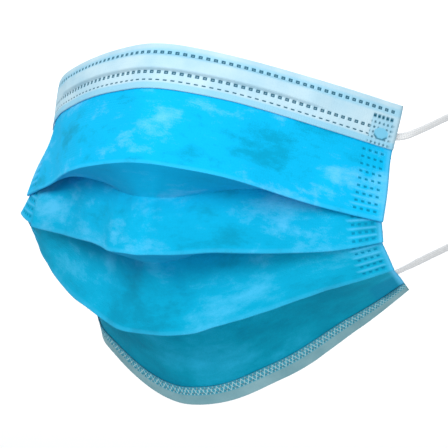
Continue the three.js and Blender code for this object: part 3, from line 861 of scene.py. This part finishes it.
def blue_cloth(colours):
    """Spunbond polypropylene dyed blue: thin and uneven, so its white ply shows through in pale clouds."""
    material, tree = new_material("spunbond_polypropylene_blue")
    place, fibres, height = spunbond(tree)
    stretch = add_node(tree, "Mapping", {"Scale": (0.6, 1.2, 1.0)}, {"Vector": place})
    clouds = add_node(tree, "TexNoise", {"Scale": 44.0, "Detail": 7.0, "Roughness": 0.68, "Distortion": 0.15},
                      {"Vector": (stretch, "Vector")})
    grain = add_node(tree, "Math", {"operation": "MULTIPLY_ADD", 1: 0.14, 2: -0.07}, {0: (fibres, "Fac")})
    both = add_node(tree, "Math", {"operation": "ADD"}, {0: (clouds, "Fac"), 1: (grain, "Value")})
    bright = colour_ramp(tree, (both, "Value"), [
        (0.37, colours.blue_deep), (0.46, colours.blue), (0.52, colours.blue), (0.64, colours.blue_pale)])
    shaded = colour_ramp(tree, (both, "Value"), [
        (0.36, colours.shaded_teal_deep), (0.5, colours.shaded_teal), (0.7, colours.shaded_teal_pale)])
    # Painted shade: by its deep value the cloth turns from the bright ramp to the shaded teal one, lower down
    # the face and inside the pleats
    deep = add_node(tree, "Attribute", {"attribute_name": "deep"})
    dyed = add_node(tree, "Mix", {"data_type": "RGBA"}, {0: (deep, "Fac"), 6: bright, 7: shaded})
    surface = (dyed, 2)
    # Painted shade in the tucks, painted highlights on the fold lips (with the cloth's real pale cut sides)
    # and on the furrows' crests, and the welds' own darker blue
    for attribute, strength, colour in (
        ("painted_fold_shade", 0.75, colours.painted_fold_shade),
        ("pale", 0.55, colours.blue_pale),
        ("furrow", 0.5, colours.blue_pale),
        ("weld", 1.0, colours.weld_blue),
    ):
        surface = coat(tree, surface, attribute, strength, colour)
    finish_cloth(tree, surface, height, 0.3)
    return material


def lattice(tree, place):
    """Crossing lines of the hem's crimp, where the cloth stays light between its fused spots.

    They cross once between two dashes, a little coarser than the real crimp, which a render would lose.
    """
    parts = add_node(tree, "SeparateXYZ", links={"Vector": place})
    half = DASH_PITCH / 2 * MM
    sides = []
    for axis, steps in (
        ("X", (("ADD", DASH_SHIFT * DASH_PITCH * MM, 0.0), ("PINGPONG", half, 0.0),
               ("MULTIPLY_ADD", LACE["steep"], -LACE["steep"] * half / 2), ("ABSOLUTE", 0.0, 0.0))),
        ("Y", (("ADD", -LACE["middle"] * MM, 0.0), ("ABSOLUTE", 0.0, 0.0))),
    ):
        value = (parts, axis)
        for operation, second, third in steps:
            step = add_node(tree, "Math", {"operation": operation, 1: second, 2: third}, {0: value})
            value = (step, "Value")
        sides.append(value)
    off = add_node(tree, "Math", {"operation": "SUBTRACT"}, {0: sides[0], 1: sides[1]})
    off = add_node(tree, "Math", {"operation": "ABSOLUTE"}, {0: (off, "Value")})
    return add_node(tree, "MapRange", {
        "From Min": LACE["core"] * MM, "From Max": LACE["edge"] * MM,
        "To Min": LACE["strength"], "To Max": 0.0,
    }, {"Value": (off, "Value")})


def white_cloth(name, shade, light, patch_colour, ink, laced=None):
    """Undyed spunbond polypropylene: a cool white, glassy and dark where welds press the layers together."""
    material, tree = new_material(name)
    place, _, height = spunbond(tree)
    clouds = add_node(tree, "TexNoise", {"Scale": 70.0, "Detail": 3.0}, {"Vector": place})
    surface = colour_ramp(tree, (clouds, "Fac"), [(0.35, shade), (0.65, light)])
    surface = coat(tree, surface, "patch", 1.0, patch_colour)
    if laced is not None:
        # The lines lie in the hem's tinted zone, and not in its corner strips
        patch = add_node(tree, "Attribute", {"attribute_name": "patch"})
        zone = add_node(tree, "Math", {"operation": "PINGPONG", 1: HEM_CRIMP["tint"]}, {0: (patch, "Fac")})
        lines = add_node(tree, "Math", {"operation": "MULTIPLY"},
                         {0: (lattice(tree, place), "Result"), 1: (zone, "Value")})
        crossed = add_node(tree, "Mix", {"data_type": "RGBA", 7: rgba(laced)},
                           {0: (lines, "Value"), 6: surface})
        surface = (crossed, 2)
    # The weld attribute also carries painted shade: on the top band, grey lines at the feet of the wire's
    # ridge
    surface = coat(tree, surface, "weld", 1.0, ink)
    finish_cloth(tree, surface, height, 0.25)
    return material


def elastic(colours):
    """Knitted polyester elastic: fine ribs along the band, small courses across it, and darker towards its
    edges.
    """
    material, tree = new_material("knitted_elastic_white")
    place = (add_node(tree, "UVMap", {"uv_map": "cloth"}), "UV")
    ribs = add_node(tree, "TexWave", {"Scale": 420.0, "bands_direction": "Y"}, {"Vector": place})
    courses = add_node(tree, "TexWave", {"Scale": 300.0, "bands_direction": "X"}, {"Vector": place})
    height = add_node(tree, "Math", {"operation": "ADD"}, {0: (ribs, "Fac"), 1: (courses, "Fac")})
    surface = colour_ramp(tree, (height, "Value"), [(0.2, colours.elastic_shade), (0.9, colours.elastic)])
    surface = coat(tree, surface, "rim", 0.3, colours.elastic_edge)
    finish_cloth(tree, surface, height, 0.5)
    return material


def aluminium(colours):
    """Soft rolled aluminium strip: bright, with a fine rolling grain along it."""
    material, tree = new_material("rolled_aluminium")
    place = (add_node(tree, "UVMap", {"uv_map": "cloth"}), "UV")
    stretch = add_node(tree, "Mapping", {"Scale": (60.0, 3000.0, 1.0)}, {"Vector": place})
    grain = add_node(tree, "TexNoise", {"Scale": 1.0, "Detail": 2.0}, {"Vector": (stretch, "Vector")})
    rough = add_node(tree, "MapRange", {"To Min": 0.28, "To Max": 0.45}, {"Value": (grain, "Fac")})
    shader = add_node(tree, "BsdfPrincipled", {"Base Color": rgba(colours.metal), "Metallic": 1.0},
                      {"Roughness": (rough, "Result")})
    add_node(tree, "OutputMaterial", links={"Surface": (shader, "BSDF")})
    return material


def seat(piece, node, slot, *materials):
    """Rides the piece on the mask, in the place of its CAD node, with its materials."""
    for material in materials:
        piece.data.materials.append(material)
    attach(piece, "root")
    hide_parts(node)
    return piece


def length_property(name, description, millimetres):
    """A size the user may set, in metres."""
    return bpy.props.FloatProperty(name=name, description=description, default=millimetres * MM, min=0.0,
                                   subtype="DISTANCE", unit="LENGTH", precision=5)


def colour_property(name, description, default):
    """A colour the user may set, from its sRGB hex value."""
    return bpy.props.FloatVectorProperty(name=name, description=description, default=linear(default)[:3],
                                         min=0.0, max=1.0, size=3, subtype="COLOR")


class FaceMaskSizes(bpy.types.PropertyGroup):
    """Sizes that may be set before the pieces are made"""
    weld_depth: length_property("Weld depth", "How deep the welds are pressed into the cloth", 0.2)
    loop_width: length_property("Elastic width", "Width of the ear loops' elastic", 2.5)
    loop_thick: length_property("Elastic thickness", "Thickness of the ear loops' elastic", 0.9)
    floor_drop: length_property("Floor", "How far below the mask the floor lies", 1800.0)


class FaceMaskColours(bpy.types.PropertyGroup):
    """Colours that may be set before the pieces are made"""
    blue: colour_property("Blue", "Dyed cloth", "#04BCF2")
    blue_deep: colour_property("Deep blue", "Thicker spots of the dyed cloth", "#00A6D2")
    # Also laid on as painted highlight on the fold lips and the furrows' crests
    blue_pale: colour_property("Pale blue", "Thin spots of the dyed cloth, where white shows", "#62CDFF")
    # Painted shade: the three teal colours are the blue cloth as it looks in shade on the lower panels and in
    # the pleats
    shaded_teal: colour_property("Teal", "Dyed cloth of the lower panels", "#009EC0")
    shaded_teal_deep: colour_property("Deep teal", "Thicker spots of the lower panels", "#008EB0")
    shaded_teal_pale: colour_property("Pale teal", "Thin spots of the lower panels", "#24B4DE")
    # Painted shade in the pleats, laid on the cloth under the folds
    painted_fold_shade: colour_property("Tucked blue", "Cloth that lies double inside the pleats", "#0092C8")
    weld_blue: colour_property("Blue weld", "Fused spots in the dyed cloth", "#008DB6")
    white: colour_property("White", "Bindings", "#C6E4F1")
    white_shade: colour_property("Shaded white", "Thin spots of the bindings", "#AED6E9")
    # Painted shade: the hem's binding is the same white cloth as the top band, darker as it lies in shade
    # under the chin
    hem: colour_property("Hem", "Binding of the hem", "#93BDC6")
    hem_shade: colour_property("Shaded hem", "Thin spots of the hem's binding", "#78A8B3")
    crimp: colour_property("Crimp", "Blue that shows through the hem's crimps", "#2C9EBA")
    lace: colour_property("Lace", "Light lines between the hem's crimps", "#C4E4E6")
    weld_white: colour_property("Dark weld", "Fused spots in the bindings", "#0F5A72")
    patch: colour_property("Tinted white", "Where the blue cloth tints the band over it", "#7CCBEC")
    inner: colour_property("Inner white", "Inner ply", "#F3FAFC")
    inner_shade: colour_property("Inner shade", "Thin spots of the inner ply", "#DCECF2")
    elastic: colour_property("Elastic", "Ear loops", "#FAFCFD")
    elastic_shade: colour_property("Elastic shade", "Between the ribs of the elastic", "#E4E8EB")
    # Colour laid on the elastic towards its edges
    elastic_edge: colour_property("Elastic edge", "Selvedges of the elastic", "#A9AFB6")
    metal: colour_property("Aluminium", "Nose wire", "#C9CED2")
    floor: colour_property("Floor", "Studio floor", "#F4F6F8")


class FACEMASK_OT_cloth(bpy.types.Operator):
    """Folds the blue cloth into its three pleats and presses its weld dots in"""
    bl_idname = "facemask.cloth"
    bl_label = "Pleated cloth"

    def execute(self, context):
        colours, sizes = context.scene.facemask_colours, context.scene.facemask_sizes
        inner = white_cloth("spunbond_polypropylene_inner", colours.inner_shade, colours.inner, colours.inner,
                            colours.inner_shade)
        body = seat(make_body(sizes), "pleated_body", "blue_cloth", blue_cloth(colours), inner)
        return {"FINISHED"}


class FACEMASK_OT_bindings(bpy.types.Operator):
    """Folds the white bands over the top edge and the hem"""
    bl_idname = "facemask.bindings"
    bl_label = "Bindings"

    def execute(self, context):
        colours, sizes = context.scene.facemask_colours, context.scene.facemask_sizes
        white = white_cloth("spunbond_polypropylene_white", colours.white_shade, colours.white, colours.patch,
                            colours.weld_white)
        top = seat(make_top_binding(sizes), "top_binding", "white_cloth", white)
        # Painted shade: a darker copy of the white binding for the hem in shade
        shaded = white_cloth("spunbond_polypropylene_hem_shaded", colours.hem_shade, colours.hem, colours.crimp,
                             colours.weld_white, laced=colours.lace)
        bottom = seat(make_bottom_binding(sizes), "bottom_binding", "white_cloth", shaded)
        return {"FINISHED"}


class FACEMASK_OT_wire(bpy.types.Operator):
    """Lays the nose wire in the channel of the top band"""
    bl_idname = "facemask.wire"
    bl_label = "Nose wire"

    def execute(self, context):
        seat(make_wire(), "nose_wire", "wire", aluminium(context.scene.facemask_colours))
        return {"FINISHED"}


class FACEMASK_OT_loops(bpy.types.Operator):
    """Runs an elastic loop round each ear from corner to corner"""
    bl_idname = "facemask.loops"
    bl_label = "Ear loops"

    def execute(self, context):
        sizes = context.scene.facemask_sizes
        finish = elastic(context.scene.facemask_colours)
        seat(make_loop("elastic_right", 1, sizes), "ear_loop_right", "elastic", finish)
        seat(make_loop("elastic_left", -1, sizes), "ear_loop_left", "elastic", finish)
        return {"FINISHED"}


# Camera fitted to the photograph: the point it was fitted about, the point it aims at, distance and angles
VIEW = {"azimuth": 27.66, "elevation": 8.22, "distance": 0.78, "lens": 185.3}
ABOUT = (0.0, 0.0, -0.05)
AIM = (0.0191, 0.0082, -0.0612)

# Soft lamps: name, place, point they face, width, and watts. The far one lights the floor behind the mask
LAMPS = (
    ("key", (0.0, -0.82, 0.74), (0, 0.01, -0.04), 0.7, 9.9),
    ("front", (0.95, -0.95, -0.02), (0, 0.01, -0.06), 0.9, 4.7),
    ("backdrop", (-9.0, 18.0, 8.0), (-9.0, 18.0, 0.0), 27.0, 3700.0),
)
WORLD_LIGHT = 0.42


def place_object(context, name, data, place, aim):
    """Adds a lamp or camera at a place, facing a point."""
    thing = bpy.data.objects.new(name, data)
    thing.location = place
    thing.rotation_euler = (Vector(aim) - Vector(place)).to_track_quat("-Z", "Y").to_euler()
    context.scene.collection.objects.link(thing)
    return thing


class FACEMASK_OT_stage(bpy.types.Operator):
    """Sets a pale floor, soft studio lights and the camera at the photograph's angle"""
    bl_idname = "facemask.stage"
    bl_label = "Stage"

    def execute(self, context):
        sizes, colours = context.scene.facemask_sizes, context.scene.facemask_colours
        bpy.ops.object.select_all(action="DESELECT")
        bpy.ops.mesh.primitive_plane_add(size=60, location=(0, 0, -sizes.floor_drop))
        floor = context.object
        floor.name = "floor"
        material, tree = new_material("matt_white_paint")
        shader = add_node(tree, "BsdfPrincipled", {"Base Color": rgba(colours.floor), "Roughness": 0.9})
        add_node(tree, "OutputMaterial", links={"Surface": (shader, "BSDF")})
        floor.data.materials.append(material)
        context.scene.view_settings.view_transform = "Standard"
        world = bpy.data.worlds.new("studio")
        context.scene.world = world
        world.use_nodes = True
        background = world.node_tree.nodes["Background"]
        background.inputs["Color"].default_value = linear("#FFFFFF")
        background.inputs["Strength"].default_value = WORLD_LIGHT
        for name, place, aim, size, power in LAMPS:
            light = bpy.data.lights.new(name, "AREA")
            light.size = size
            light.energy = power
            place_object(context, name, light, place, aim)
        azimuth, elevation = math.radians(VIEW["azimuth"]), math.radians(VIEW["elevation"])
        level = math.cos(elevation)
        back = Vector((math.sin(azimuth) * level, -math.cos(azimuth) * level, math.sin(elevation)))
        data = bpy.data.cameras.new("camera")
        data.lens = VIEW["lens"]
        data.sensor_width = 36
        data.clip_end = 100
        place = Vector(ABOUT) + back * VIEW["distance"]
        context.scene.camera = place_object(context, "camera", data, place, AIM)
        return {"FINISHED"}


class FACEMASK_PT_panel(bpy.types.Panel):
    """Steps of the face mask, its sizes and its colours"""
    bl_label = "Face mask"
    bl_idname = "FACEMASK_PT_panel"
    bl_space_type = "VIEW_3D"
    bl_region_type = "UI"
    bl_category = "Face mask"

    def draw(self, context):
        for step in STEPS:
            self.layout.operator(step.bl_idname)
        for group in (context.scene.facemask_sizes, context.scene.facemask_colours):
            for key in group.bl_rna.properties.keys():
                if key not in ("rna_type", "name"):
                    self.layout.prop(group, key)


STEPS = (FACEMASK_OT_stage, FACEMASK_OT_cloth, FACEMASK_OT_bindings, FACEMASK_OT_wire, FACEMASK_OT_loops)
CLASSES = (FaceMaskSizes, FaceMaskColours) + STEPS + (FACEMASK_PT_panel,)


def register():
    for cls in CLASSES:
        bpy.utils.register_class(cls)
    bpy.types.Scene.facemask_sizes = bpy.props.PointerProperty(type=FaceMaskSizes)
    bpy.types.Scene.facemask_colours = bpy.props.PointerProperty(type=FaceMaskColours)


def unregister():
    del bpy.types.Scene.facemask_colours
    del bpy.types.Scene.facemask_sizes
    for cls in reversed(CLASSES):
        bpy.utils.unregister_class(cls)


def main():
    register()
    bpy.ops.facemask.stage()
    bpy.ops.facemask.cloth()
    bpy.ops.facemask.bindings()
    bpy.ops.facemask.wire()
    bpy.ops.facemask.loops()


if __name__ == "__main__":
    main()
